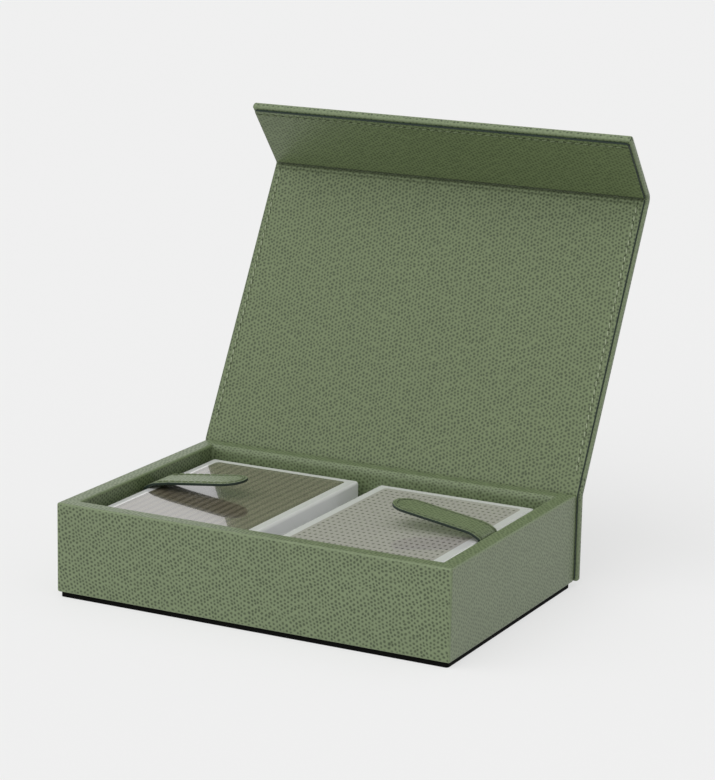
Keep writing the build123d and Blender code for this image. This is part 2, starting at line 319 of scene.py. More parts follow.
def nickel():
    """Plated steel with fine turning rings."""
    finish, wire, feed = new_finish("nickel", Metallic=1.0)
    place = wire.node("TexCoord", output="Object")
    rings = wire.noise(place, size=0.5 * MM, detail=5)
    feed("Base Color", rings.blend(display(176, 176, 174), display(206, 205, 200)))
    feed("Roughness", 0.22 + 0.2 * rings)
    relief(wire, feed, rings, depth=0.01 * MM)
    return finish


nickel_plate = nickel()
coat(nickel_plate, "wall_magnets")

# Tray leather: sage leather with a dimpled grain round the four walls, turned under at the foot.
# It is glued on, drawn over the rounded rim and down inside to the floor.

GRAIN_PITCH = 1.58 * MM
GRAIN_TURN = radians(24)
GRAIN_DRIFT = 1.6 * MM
DRIFT_PATCH = 7 * MM
GRAIN_SCATTER = 0.24
DIMPLE_SPREAD = 0.14
DIMPLE_PATCH = 3.1 * MM
DIMPLE_SLOPE = (0.1, 0.46)
CREST_SLOPE = (0.42, 0.62)
GRAIN_DEPTH = 0.06 * MM
ROW_STEP = sqrt(3)


def grain(wire, hide):
    """How far a place on the flat hide lies from the nearest dimple's middle, in pitches.

    The dimples stand in hexagonal rows that wander: two square lattices, one set between the
    other's points, give the nearest dimple, and a soft noise pushes the rows about."""
    drift = wire.noise(hide, DRIFT_PATCH, 2, "2D", "Color")
    most = (GRAIN_DRIFT, GRAIN_DRIFT, 0)
    centre = (-GRAIN_DRIFT / 2, -GRAIN_DRIFT / 2, 0)
    push = wire.vector("MULTIPLY_ADD", drift, most, centre)
    moved = wire.vector("ADD", hide, push)
    inputs = {"Vector": moved, "Angle": GRAIN_TURN}
    turned = wire.node("VectorRotate", {"rotation_type": "Z_AXIS"}, inputs)
    rows = wire.vector("MULTIPLY", turned, (1 / GRAIN_PITCH, 1 / (GRAIN_PITCH * ROW_STEP), 1))
    nearest = None
    for shift in (0.0, 0.5):
        spot = wire.vector("ADD", rows, (shift, shift, 0))
        inputs = {"Vector": spot, "Scale": 1.0, "Randomness": GRAIN_SCATTER}
        point = wire.node("TexVoronoi", {"voronoi_dimensions": "2D"}, inputs, "Position")
        gap = wire.vector("MULTIPLY", wire.vector("SUBTRACT", spot, point), (1, ROW_STEP, 0))
        reach = wire.vector("LENGTH", gap, output="Value")
        nearest = reach if nearest is None else nearest.least(reach)
    return nearest + DIMPLE_SPREAD * (wire.noise(hide, DIMPLE_PATCH, 1, "2D") - 0.5)


def shade(colour, light):
    """A colour with its light changed."""
    return [channel * light for channel in colour[:3]] + [1.0]


def leather(name, ridge, dimple, groove_and_shade=None):
    """Sage leather with its dimpled grain, a painted highlight on the grain's crests and a painted
    highlight on rounded edges; an optional function adds pressed lines from the hide's place, sunk and
    painted dark as their shade.
    """
    finish, wire, feed = new_finish(name, Specular_IOR_Level=0.68)
    hide = wire.node("UVMap", {"uv_map": "hide"})
    drawn = wire.node("Attribute", {"attribute_name": "drawn"}, output="Fac")
    reach = grain(wire, hide)
    depth = (1 - reach.rise(*DIMPLE_SLOPE)) * (1 - drawn)
    crest_highlight = reach.rise(*CREST_SLOPE)
    stretched = drawn.rise(0.4, 0.8)
    pore = wire.noise(hide, size=0.35 * MM, detail=3, dimensions="2D")
    cloud = wire.noise(hide, size=16 * MM, detail=3, dimensions="2D")
    worn = wire.noise(hide, size=6 * MM, detail=2, dimensions="2D").rise(0.4, 0.75)
    ground = cloud.blend(shade(ridge, 0.95), shade(ridge, 1.05))
    # Painted highlight: the crests between the dimples are lightened as if they caught the light.
    ground = (0.35 * crest_highlight).blend(ground, shade(ridge, 1.15))
    colour = (depth * (1 - 0.15 * worn)).blend(ground, dimple)
    # Painted highlight: the rounded edges, where the leather is drawn flat, are lightened as if they
    # caught the light.
    colour = (0.4 * stretched).blend(colour, shade(ridge, 1.3))
    height = 1 - 0.8 * depth + 0.12 * pore
    sheen = 0.34 + 0.14 * depth + 0.08 * pore
    if groove_and_shade:
        line = groove_and_shade(wire, hide)
        height = height - 0.9 * line
        # Painted shade: the pressed lines are darkened as the shade in their grooves.
        colour = (0.85 * line).blend(colour, shade(dimple, 0.4))
        sheen = sheen + 0.5 * line
    feed("Base Color", colour)
    feed("Roughness", sheen)
    relief(wire, feed, height, GRAIN_DEPTH)
    return finish


def map_hide(piece, unroll, tight=None):
    """Writes where each face corner lies on the flat hide, and how tight each face is drawn; the same
    value also carries painted sheen and highlights.
    """
    skin = piece.data
    layer = skin.uv_layers.new(name="hide")
    drawn = skin.attributes.new("drawn", "FLOAT", "FACE")
    for face in skin.polygons:
        drawn.data[face.index].value = tight(face) if tight else 0.0
        for corner in face.loop_indices:
            place = skin.vertices[skin.loops[corner].vertex_index].co
            layer.data[corner].uv = unroll(place, face)


def over_edge(face):
    """Leather drawn over a rounded edge, which pulls its dimples flat there; the same value also paints
    a highlight on the edge.
    """
    return EDGE_DRAW_AND_HIGHLIGHT if max(map(abs, face.normal)) < FLAT else 0.0


FRONT_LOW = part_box("front_leather")[0]
BACK_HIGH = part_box("back_leather")[1]
TRAY_LOW = Vector((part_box("left_leather")[0].x, FRONT_LOW.y, FRONT_LOW.z))
TRAY_HIGH = Vector((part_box("right_leather")[1].x, BACK_HIGH.y, BACK_HIGH.z))
WELL_LOW, WELL_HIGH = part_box("floor_lining")
WALL = TRAY_HIGH.x - WELL_HIGH.x
RIM = TRAY_HIGH.z
LEATHER_ROUND = 0.85 * MM
BACK_ROUND = 3.0 * MM
FOOT_ROUND = 0.7 * MM
SPINE_ROUND = 0.3 * MM
RIM_SEGMENTS = 5
FLAT = 0.985
ASIDE = 0.7
LEANING = 0.1
SIDE_SHIFT = 0.3
# Rounded edges: dimples drawn flat, and a painted highlight from the leather finish.
EDGE_DRAW_AND_HIGHLIGHT = 0.6
# Rim tops and outer sides: fainter dimples as painted sheen; on the rim the leather is also drawn a
# little flatter.
RIM_DRAW_AND_SHEEN = 0.2
SIDE_SHEEN_FADE = 0.35
RIDGE = display(118, 133, 97)
DIMPLE = display(60, 73, 44)


def is_rim(edge):
    """Whether an edge runs along the outer or the inner side of the rim."""
    level = all(corner.co.z > RIM - NEAR for corner in edge.verts)
    tops = [face for face in edge.link_faces if face.normal.z > FACING]
    return level and len(tops) == 1


def is_back_rim(edge):
    """Whether an edge is the inner edge of the back rim, which is padded and the most rounded."""
    return is_rim(edge) and runs(edge, 0) and abs(middle(edge).y - WELL_HIGH.y) < NEAR


def edge_round(edge):
    """How far an edge of the tray is rounded: its back corners stay sharp against the spine."""
    if is_back_rim(edge):
        return BACK_ROUND
    at_spine = runs(edge, 2) and middle(edge).y > TRAY_HIGH.y - NEAR
    return SPINE_ROUND if at_spine else LEATHER_ROUND


def is_foot(edge):
    """Whether an edge runs along the foot of the walls."""
    return all(corner.co.z < TRAY_LOW.z + NEAR for corner in edge.verts)


def wall_hide(place, face):
    """Unrolls a wall: along it, and up the outside, over the rim and down the inside."""
    out_x = TRAY_HIGH.x - abs(face.center.x)
    out_y = TRAY_HIGH.y - abs(face.center.y)
    side = out_x < out_y
    along = place.y if side else place.x
    depth = TRAY_HIGH.x - abs(place.x) if side else TRAY_HIGH.y - abs(place.y)
    inside = face.normal.z < ASIDE and (out_x if side else out_y) > WALL / 2
    height = RIM + depth + (RIM - place.z) if inside else place.z + depth
    return (along + SIDE_SHIFT if side else along, height)


def over_rim(face):
    """Leather drawn over the rounded edges and, less so, along the rim; the fainter dimples along the
    rim and round the outer sides are painted sheen.
    """
    padded = face.normal.y < -LEANING and face.center.y > WELL_HIGH.y - NEAR
    if padded or face.normal.z > FLAT:
        return RIM_DRAW_AND_SHEEN
    outer_side = face.normal.x * face.center.x > FACING * TRAY_HIGH.x
    return SIDE_SHEEN_FADE if outer_side else over_edge(face)


tray = start_block("tray_wrap", TRAY_LOW, TRAY_HIGH)
pick(tray, "faces", lambda face: face.normal.z > FACING)
bpy.ops.mesh.inset(thickness=WALL, depth=0)
bpy.ops.mesh.extrude_region_move(TRANSFORM_OT_translate={"value": (0, 0, WELL_LOW.z - RIM)})
skin = bmesh.from_edit_mesh(tray.data)
skin.normal_update()
softness = skin.edges.layers.float.new("bevel_weight_edge")
for edge in skin.edges:
    if is_rim(edge) or runs(edge, 2):
        edge[softness] = edge_round(edge) / BACK_ROUND
bmesh.update_edit_mesh(tray.data)
bpy.ops.object.mode_set(mode="OBJECT")
rounds = tray.modifiers.new("rounds", "BEVEL")
rounds.limit_method = "WEIGHT"
rounds.width = BACK_ROUND
rounds.segments = RIM_SEGMENTS
bpy.ops.object.modifier_apply(modifier=rounds.name)
bpy.ops.object.mode_set(mode="EDIT")
round_edges(tray, is_foot, FOOT_ROUND)
done(tray, leather("tray_leather", RIDGE, DIMPLE))
map_hide(tray, wall_hide, over_rim)
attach(tray, "tray")
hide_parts(*[wall + "_leather" for wall in WALLS])

# Floor lining: a sheet of the same leather glued to the raised floor.
# The decks and their straps lie on it, so little of it shows between them.

# Painted shade: the lining is the same leather as the cover, set darker in colour.
LINING_RIDGE = display(107, 122, 83)
LINING_DIMPLE = display(58, 71, 41)
FLOOR_ROUND = 0.3 * MM
FLOOR_SHIFT = 0.5

floor_sheet = start_block("floor_sheet", WELL_LOW, WELL_HIGH)
round_edges(floor_sheet, lambda edge: middle(edge).z > WELL_HIGH.z - NEAR, FLOOR_ROUND, segments=2)
lining_leather = leather("lining_leather", LINING_RIDGE, LINING_DIMPLE)
done(floor_sheet, lining_leather)
map_hide(floor_sheet, lambda place, face: (place.x + FLOOR_SHIFT, place.y))
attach(floor_sheet, "tray")
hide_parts("floor_lining")

# Spine: a greyboard strip in cover leather, glued up the tray's back wall with its lining.
# The leather is turned over the board's edges, and the lining's cut edge is painted dark.


def greyboard():
    """Grey recycled board with flecks."""
    finish, wire, feed = new_finish("greyboard")
    place = wire.node("TexCoord", output="Object")
    fleck = wire.noise(place, size=0.9 * MM, detail=5)
    feed("Base Color", fleck.blend(display(128, 124, 116), display(164, 160, 150)))
    feed("Roughness", 0.8 + 0.15 * fleck)
    relief(wire, feed, fleck, depth=0.05 * MM)
    return finish


def edge_paint():
    """Dark green edge paint, laid on thick and a little uneven."""
    finish, wire, feed = new_finish("edge_paint", Specular_IOR_Level=0.4)
    place = wire.node("TexCoord", output="Object")
    ripple = wire.noise(place, size=1.2 * MM, detail=3)
    feed("Base Color", ripple.blend(display(22, 36, 32), display(40, 54, 44)))
    feed("Roughness", 0.4 + 0.25 * ripple)
    relief(wire, feed, ripple, depth=0.05 * MM)
    return finish


def joint(name):
    """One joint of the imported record."""
    return next(entry for entry in frame["joints"] if entry["name"] == name)


COVER_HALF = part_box("spine_leather")[1].x
LINING_SPREAD = 0.4 * MM
LINING_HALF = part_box("spine_lining")[1].x + LINING_SPREAD
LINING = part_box("spine_lining")[1].y - TRAY_HIGH.y
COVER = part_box("spine_leather")[1].y - TRAY_HIGH.y
SPINE_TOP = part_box("spine_leather")[1].z
COVER_ROUND = 0.95 * MM
COVER_CORNER = 1.0 * MM
LINING_ROUND = 0.25 * MM
HINGE_LINE = Vector((0, TRAY_HIGH.y, RIM))
UPRIGHT = radians(90)
PAINTED = 0.3
EDGE_SHIFT = 0.2
END_SHIFT = 0.4


def start_panel(name, half, start, end, top, bottom):
    """A flat slab of the cover: X by distance along the cover, below its inner face."""
    return start_block(name, (-half, start, -bottom), (half, end, -top))


def stand(piece, origin, tilt):
    """Stands a flat panel up: its length tilts from level, and its inner face looks in."""
    piece.location = origin
    piece.rotation_euler = (tilt, 0, 0)
    bpy.ops.object.transform_apply(location=True, rotation=True, scale=True)


def cover_panel(name, start, end, closed=None):
    """Cover leather on one panel, rounded along its sides and at its closed end."""
    piece = start_panel(name, COVER_HALF, start, end, LINING, COVER)

    def at_closed(edge):
        return closed is not None and abs(middle(edge).y - closed) < COVER_CORNER

    def turned_over(edge):
        sideways = not runs(edge, 0) and not runs(edge, 2)
        on_face = min(abs(middle(edge).z + depth) for depth in (LINING, COVER)) < NEAR
        return on_face and (sideways or at_closed(edge))

    round_edges(piece, lambda edge: runs(edge, 2) and at_closed(edge), COVER_CORNER, segments=5)
    round_edges(piece, turned_over, COVER_ROUND)
    return piece


def flat_hide(place, face):
    """Where a flat cover panel lies on its hide."""
    if abs(face.normal.x) > ASIDE:
        return (place.z + EDGE_SHIFT, place.y)
    if abs(face.normal.y) > ASIDE:
        return (place.x, place.z + END_SHIFT)
    return (place.x, place.y)


cover_board = greyboard()
cover_leather = leather("cover_leather", RIDGE, DIMPLE)
painted_edge = edge_paint()
coat(cover_board, "spine_board", "lid_board", "flap_board")

spine_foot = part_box("spine_leather")[0].z - RIM
spine = cover_panel("spine_cover", spine_foot, SPINE_TOP - RIM, closed=spine_foot)
done(spine, cover_leather)
map_hide(spine, flat_hide, over_edge)
stand(spine, HINGE_LINE, UPRIGHT)
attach(spine, "tray")
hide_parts("spine_leather")


def paint_edges(piece, is_edge):
    """Gives the lining's cut edge its second finish, the paint."""
    for face in piece.data.polygons:
        if is_edge(face):
            face.material_index = 1


def at_side(face):
    """Whether a face is part of the lining's cut side edge."""
    return abs(face.normal.x) > PAINTED


def lining_panel(name, start, end):
    """Lining leather on one panel, with softened side edges."""
    piece = start_panel(name, LINING_HALF, start, end, 0, LINING)
    round_edges(piece, lambda edge: runs(edge, 1) and middle(edge).z > -NEAR, LINING_ROUND, segments=2)
    return piece


spine_sheet = lining_panel("spine_sheet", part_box("spine_lining")[0].z - RIM, SPINE_TOP - RIM)
done(spine_sheet, lining_leather, painted_edge)
paint_edges(spine_sheet, lambda face: at_side(face) or face.normal.y < -FACING)
map_hide(spine_sheet, flat_hide)
stand(spine_sheet, HINGE_LINE, UPRIGHT)
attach(spine_sheet, "tray")
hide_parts("spine_lining")

# Hinge: a bare strip of cover leather and lining with no board, so that the lid can turn.
# Both go on round the back rim from the spine and lean back with the open lid.

LID_TILT = radians(180 + joint("lid_hinge")["range_deg"][0])
LEAN = UPRIGHT - LID_TILT
LID_DIRECTION = Vector((0, cos(LID_TILT), sin(LID_TILT)))
HINGE_FOOT = 0.9 * MM
BEND_CENTRE_Z = SPINE_TOP + HINGE_FOOT
BEND_RADIUS = (RIM - BEND_CENTRE_Z) / tan(LEAN / 2)
BEND_CENTRE = Vector((0, TRAY_HIGH.y + BEND_RADIUS, BEND_CENTRE_Z))
HINGE_SPAN = (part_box("lid_lining")[0].y - TRAY_HIGH.y) / LID_DIRECTION.y
HINGE_STEPS = 10
HINGE_CUTS = 4


def grow_hinge(name, half, top, bottom):
    """A strip from the spine's top, spun round the bend and run out along the lid."""
    low = (-half, TRAY_HIGH.y + top, SPINE_TOP)
    high = (half, TRAY_HIGH.y + bottom, BEND_CENTRE_Z)
    piece = start_block(name, low, high)
    halfway = TRAY_HIGH.y + (top + bottom) / 2

    def inner_side(edge):
        return runs(edge, 2) and middle(edge).y < halfway

    if bottom > LINING + NEAR:
        round_edges(piece, lambda edge: runs(edge, 2), COVER_ROUND)
    else:
        round_edges(piece, inner_side, LINING_ROUND, segments=2)
    pick(piece, "faces", lambda face: face.normal.z > FACING)
    bpy.ops.mesh.spin(steps=HINGE_STEPS, angle=LEAN, center=BEND_CENTRE, axis=(1, 0, 0))
    straight = HINGE_SPAN - BEND_RADIUS * tan(LEAN / 2)
    step = LID_DIRECTION * straight / HINGE_CUTS
    for _ in range(HINGE_CUTS):
        bpy.ops.mesh.extrude_region_move(TRANSFORM_OT_translate={"value": step})
    return piece


def hinge_hide(place, face):
    """Unrolls the hinge: distance along the lining's face, 0 where the lid's line starts."""
    gap = place - BEND_CENTRE
    turn = atan2(gap.z, -gap.y)
    bend_start = BEND_CENTRE_Z - RIM
    if turn <= 0:
        along = place.z - RIM
    elif turn < LEAN:
        along = bend_start - 2 * bend_start * turn / LEAN
    else:
        along = (place - HINGE_LINE).dot(LID_DIRECTION)
    if abs(face.normal.x) > ASIDE:
        return (place.y + EDGE_SHIFT, along)
    return (place.x, along)


for name, half, top, bottom, finish, node, slot in (
    ("hinge_cover", COVER_HALF, LINING, COVER, cover_leather, "hinge_leather", "cover_leather"),
    ("hinge_sheet", LINING_HALF, 0, LINING, lining_leather, "hinge_lining", "lining_leather"),
):
    hinge = grow_hinge(name, half, top, bottom)
    done(hinge, finish, painted_edge)
    if slot == "lining_leather":
        paint_edges(hinge, at_side)
    map_hide(hinge, hinge_hide)
    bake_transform(hinge)
    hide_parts(node)

# Lid: a greyboard panel in cover leather, turned over its side edges, with a leather lining.
# The lining is sewn down both sides, and its cut edge is painted dark.

CREASE = Vector(joint("flap_hinge")["pos_m"])
LID_REACH = (CREASE - HINGE_LINE).length
CREASE_HALF = 1.6 * MM
CREASE_SLIT = 0.2 * MM
CREASE_ROUND = 0.7 * MM
# The fold below the crease, the gutter at the crease and the seam are sunk and painted dark: painted
# shade in their grooves.
FOLD_DROP = 2.0 * MM
FOLD_BAND = (0.1 * MM, 0.7 * MM)
FOLD_DIP_AND_SHADE = 0.45
GUTTER_BAND = (1.3 * MM, 0.5 * MM)
GUTTER_DIP_AND_SHADE = 0.75
SEAM_DIP_AND_SHADE = 0.7
PRESS_HALF = 0.42 * MM
PRESS_CORE = 0.3
STITCH_INSET = 2.5 * MM
STITCH_PITCH = 3.3 * MM
STITCH_LENGTH = 1.7 * MM
STITCH_END = 0.3 * MM
STITCH_SOFT = 0.28
STITCH_DIP = 0.35
STITCH_TAPER = 0.45
STITCH_STOP = 3 * MM
STITCH_SLANT = radians(8)
THREAD = 0.55 * MM
PROUD = 0.1 * MM
SEAM = LINING_HALF - STITCH_INSET


def pressed(distance, half=PRESS_HALF):
    """A pressed line where a distance is 0, sunk and painted dark as shade by the leather finish."""
    return 1 - abs(distance).rise(PRESS_CORE * half, half)


def lid_lines(wire, hide):
    """The pressed line that the side stitches lie in, a soft fold line below the crease and a gutter at
    the crease, all sunk and painted dark as shade.
    """
    across, along, _ = hide.axes()
    seam = pressed(abs(across) - SEAM)
    fold = 1 - abs(along - (LID_REACH - FOLD_DROP)).rise(*FOLD_BAND)
    gutter = along.rise(*[LID_REACH - drop for drop in GUTTER_BAND])
    return (SEAM_DIP_AND_SHADE * seam).most(FOLD_DIP_AND_SHADE * fold).most(GUTTER_DIP_AND_SHADE * gutter)


def thread_finish(name, low, high):
    """Waxed thread with a twist."""
    finish, wire, feed = new_finish(name, Specular_IOR_Level=0.4)
    place = wire.node("TexCoord", output="Object")
    twist = wire.noise(place, size=0.3 * MM, detail=2)
    feed("Base Color", twist.blend(low, high))
    feed("Roughness", 0.45 + 0.2 * twist)
    relief(wire, feed, twist, depth=0.06 * MM)
    return finish


def one_stitch():
    """One stitch along Y, thick in the middle and dipping at both ends."""
    half = Vector((THREAD / 2, STITCH_LENGTH / 2, THREAD / 2))
    piece = start_block("stitch", -half, half)
    round_edges(piece, lambda edge: runs(edge, 1), THREAD * STITCH_SOFT, segments=1)
    for end in (-1, 1):
        pick(piece, "faces", lambda face: face.normal.y * end > FACING)
        dip = (0, end * STITCH_END, -STITCH_DIP * THREAD)
        bpy.ops.mesh.extrude_region_move(TRANSFORM_OT_translate={"value": dip})
        bpy.ops.transform.resize(value=(STITCH_TAPER, 1, STITCH_TAPER))
    return done(piece, sage_thread)


def sew(name, places):
    """Copies of the stitch at each place, joined into one row."""
    bpy.ops.object.select_all(action="DESELECT")
    for place in places:
        copy = stitch.copy()
        copy.data = stitch.data.copy()
        copy.data.transform(place)
        bpy.context.collection.objects.link(copy)
        copy.select_set(True)
        bpy.context.view_layer.objects.active = copy
    bpy.ops.object.join()
    row = bpy.context.object
    row.name = name
    row.data.name = name
    return row


def spaced(start, end, pitch):
    """Evenly spaced middles of stitches between two distances."""
    count = int((end - start) / pitch)
    step = (end - start) / count
    return [start + step * (number + 0.5) for number in range(count)]


sage_thread = thread_finish("sage_thread", display(140, 152, 122), display(168, 178, 148))
stitch = one_stitch()
SLANT = Matrix.Rotation(STITCH_SLANT, 4, "Z")
TO_LID = Matrix.Translation(HINGE_LINE) @ Matrix.Rotation(LID_TILT, 4, "X")

lid = cover_panel("lid_cover", HINGE_SPAN, LID_REACH - CREASE_HALF)
done(lid, cover_leather)
map_hide(lid, flat_hide, over_edge)
stand(lid, HINGE_LINE, LID_TILT)
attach(lid, "lid")
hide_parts("lid_leather")


def lid_tip(edge):
    """Whether an edge is the lining's inner edge along the crease."""
    return runs(edge, 0) and middle(edge).y > LID_REACH - MM and middle(edge).z > -NEAR


lid_sheet = lining_panel("lid_sheet", HINGE_SPAN, LID_REACH - CREASE_SLIT)
round_edges(lid_sheet, lid_tip, CREASE_ROUND)
done(lid_sheet, leather("lid_lining", LINING_RIDGE, LINING_DIMPLE, lid_lines), painted_edge)
paint_edges(lid_sheet, at_side)
map_hide(lid_sheet, flat_hide)
stand(lid_sheet, HINGE_LINE, LID_TILT)
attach(lid_sheet, "lid")
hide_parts("lid_lining")

places = []
for side in (-1, 1):
    for along in spaced(HINGE_SPAN, LID_REACH - STITCH_STOP, STITCH_PITCH):
        places.append(TO_LID @ Matrix.Translation((side * SEAM, along, PROUD)) @ SLANT)
lid_stitches = sew("lid_stitches", places)
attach(lid_stitches, "lid")

# Crease: cover leather alone, bent round the outside of the fold between lid and flap.
# The boards stop short of it on both sides, and the two linings meet at its root.

FLAP_TILT = LID_TILT + radians(joint("flap_hinge")["range_deg"][1])
FLAP_DIRECTION = Vector((0, cos(FLAP_TILT), sin(FLAP_TILT)))
CREASE_STEPS = 12


def crease_hide(place, face):
    """Unrolls the crease along its outer face."""
    gap = place - CREASE
    turn = atan2(gap.z, gap.y)
    if abs(face.normal.x) > ASIDE:
        return (gap.length + EDGE_SHIFT, turn * COVER)
    return (place.x, turn * COVER)


crease = cover_panel("crease_cover", LID_REACH - CREASE_HALF, LID_REACH)
bpy.ops.object.mode_set(mode="OBJECT")
stand(crease, HINGE_LINE, LID_TILT)
bpy.ops.object.mode_set(mode="EDIT")
pick(crease, "faces", lambda face: face.normal.dot(LID_DIRECTION) > FACING)
bpy.ops.mesh.spin(steps=CREASE_STEPS, angle=FLAP_TILT - LID_TILT, center=CREASE, axis=(-1, 0, 0))
bpy.ops.mesh.extrude_region_move(TRANSFORM_OT_translate={"value": FLAP_DIRECTION * CREASE_HALF})
done(crease, cover_leather)
map_hide(crease, crease_hide)
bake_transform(crease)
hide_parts("crease_leather")

# Flap: a narrow panel made as the lid is, with magnets in its board to hold the box shut.
# Its lining is cut with rounded corners, glued down and sewn along the tip.

TO_FLAP = Matrix.Translation(CREASE) @ Matrix.Rotation(FLAP_TILT, 4, "X")
LINING_CORNER = 1.2 * MM
LINING_FLAT = 0.95
FLAP_GUTTER = (0.4 * MM, 0.9 * MM)
MITRE_FACING = 0.35
MITRE_WIDTH = 0.12
TIP_INSET = 1.8 * MM
# Painted sheen: the flap's lining is the lid's leather with paler dimples, as a sheen washes its grain
# out.
FLAP_SHEEN_DIMPLE = display(76, 90, 57)


def flap_reach(node):
    """How far a node reaches along the flap from the crease."""
    corners = [TO_FLAP.inverted() @ corner.co for corner in frame["nodes"][node].data.vertices]
    return max(corner.y for corner in corners)


def flap_seam(wire, hide):
    """The pressed line of the stitches along the flap's tip, and the crease's gutter, both sunk and
    painted dark as shade.
    """
    along = hide.axes()[1]
    gutter = 1 - along.rise(*FLAP_GUTTER)
    return pressed(along - TIP_SEAM).most(GUTTER_DIP_AND_SHADE * gutter)


FLAP_TIP = flap_reach("flap_leather")
LINING_TIP = flap_reach("flap_lining")
TIP_SEAM = LINING_TIP - TIP_INSET
# Painted shade: a darker copy of the sage thread, for the stitches on the flap and the straps.
moss_thread = thread_finish("moss_thread", display(98, 111, 80), display(118, 131, 97))

coat(nickel_plate, "flap_magnets")


def shaded_mitre(face):
    """Whether a face lies in the tip's corner, where the turned-over leather meets in a mitre painted
    dark as the shade of its fold.
    """
    slant = abs(abs(face.normal.x) - face.normal.y)
    return face.normal.y > MITRE_FACING and slant < MITRE_WIDTH


flap = cover_panel("flap_cover", CREASE_HALF, FLAP_TIP, closed=FLAP_TIP)
done(flap, cover_leather, painted_edge)
# The mitre takes the dark edge paint as painted shade of the fold.
paint_edges(flap, shaded_mitre)
map_hide(flap, flat_hide, over_edge)
stand(flap, CREASE, FLAP_TILT)
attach(flap, "flap")
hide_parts("flap_leather")


def tip_upright(edge):
    """Whether an edge is one of the lining's two corners at the tip."""
    return runs(edge, 2) and middle(edge).y > LINING_TIP - NEAR


def inner_rim(edge):
    """Whether an edge runs round the lining's inner face, away from the crease."""
    return middle(edge).z > -NEAR and middle(edge).y > CREASE_SLIT + NEAR


def inner_root(edge):
    """Whether an edge is the lining's inner edge along the crease."""
    return middle(edge).z > -NEAR and runs(edge, 0) and middle(edge).y < MM


flap_sheet = start_panel("flap_sheet", LINING_HALF, CREASE_SLIT, LINING_TIP, 0, LINING)
round_edges(flap_sheet, tip_upright, LINING_CORNER, segments=4)
round_edges(flap_sheet, inner_rim, LINING_ROUND, segments=2)
round_edges(flap_sheet, inner_root, CREASE_ROUND)
done(flap_sheet, leather("flap_lining", LINING_RIDGE, FLAP_SHEEN_DIMPLE, flap_seam), painted_edge)
paint_edges(flap_sheet, lambda face: abs(face.normal.z) < LINING_FLAT and face.center.y > MM)
map_hide(flap_sheet, flat_hide)
stand(flap_sheet, CREASE, FLAP_TILT)
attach(flap_sheet, "flap")
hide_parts("flap_lining")

places = []
quarter = Matrix.Rotation(UPRIGHT, 4, "Z")
for across in spaced(-SEAM, SEAM, STITCH_PITCH):
    places.append(TO_FLAP @ Matrix.Translation((across, TIP_SEAM, PROUD)) @ quarter @ SLANT)
flap_stitches = sew("flap_stitches", places)
flap_stitches.data.materials[0] = moss_thread
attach(flap_stitches, "flap")

# Cartons: a deck of cards in each printed card box, shrink-wrapped in clear glossy film.
# White borders run round a plain fine print: pinstripes on the left box, pin dots on the right.

BORDER = 4.0 * MM
PRINT_CORNER = 1.6 * MM
PRINT_BLUR = 0.06 * MM
CARTON_ROUND = 1.2 * MM
CARTON_CORNER = 1.6 * MM
SHARP = radians(60)
TOP_BAND = (0.3 * MM, 0.2 * MM)
STRIPE_PITCH = 3.6 * MM
STRIPE_EDGE = (0.1, 0.3)
DOT_ROWS = 2.3 * MM
DOT_STEP = 3.6 * MM
DOT_STRETCH = 1.6
DOT_EDGE = (0.3 * MM, 0.7 * MM)
CARTON_WHITE = display(244, 245, 245)


def carton(name, box, ground, mark, dotted):
    """Printed card under clear film, with the print centred on the box's top."""
    finish, wire, feed = new_finish(name, Coat_Weight=1.0, Coat_Roughness=0.03, Coat_IOR=1.8)
    low, high = box
    half = (high - low) / 2
    place = wire.node("TexCoord", output="Object")
    x, y, z = wire.node("Mapping", (), {"Vector": place, "Location": -(low + high) / 2}).axes()
    out_x = (abs(x) - (half.x - BORDER - PRINT_CORNER)).most(0.0)
    out_y = (abs(y) - (half.y - BORDER - PRINT_CORNER)).most(0.0)
    reach = (out_x * out_x + out_y * out_y).root()
    on_top = z.rise(*[half.z - drop for drop in TOP_BAND])
    printed = (1 - reach.rise(PRINT_CORNER - PRINT_BLUR, PRINT_CORNER + PRINT_BLUR)) * on_top
    if dotted:
        row = abs((x / DOT_ROWS).fraction() - 0.5) * DOT_ROWS
        step = abs((y / DOT_STEP).fraction() - 0.5) * (DOT_STEP / DOT_STRETCH)
        pattern = 1 - (row * row + step * step).root().rise(*DOT_EDGE)
    else:
        pattern = 1 - abs((x / STRIPE_PITCH).fraction() - 0.5).rise(*STRIPE_EDGE)
    speck = wire.noise(place, size=0.5 * MM, detail=3)
    inked = (pattern * (0.7 + 0.3 * speck)).blend(ground, mark)
    feed("Base Color", printed.blend(CARTON_WHITE, inked))
    feed("Roughness", 0.12 + 0.1 * speck)
    relief(wire, feed, speck, depth=0.01 * MM)
    return finish


def paper_edges():
    """Coated card stock: the fine lines of a stack's edges."""
    finish, wire, feed = new_finish("card_stack")
    place = wire.node("TexCoord", output="Object")
    thin = wire.node("Mapping", (), {"Vector": place, "Scale": (0.05, 0.05, 1.0)})
    line = wire.noise(thin, size=0.3 * MM, detail=2)
    feed("Base Color", line.blend(display(214, 212, 206), display(240, 239, 235)))
    feed("Roughness", 0.35 + 0.2 * line)
    relief(wire, feed, line, depth=0.05 * MM)
    return finish


def is_sharp(edge):
    """Whether two faces meet at an edge as at a corner."""
    return edge.calc_face_angle(0) > SHARP


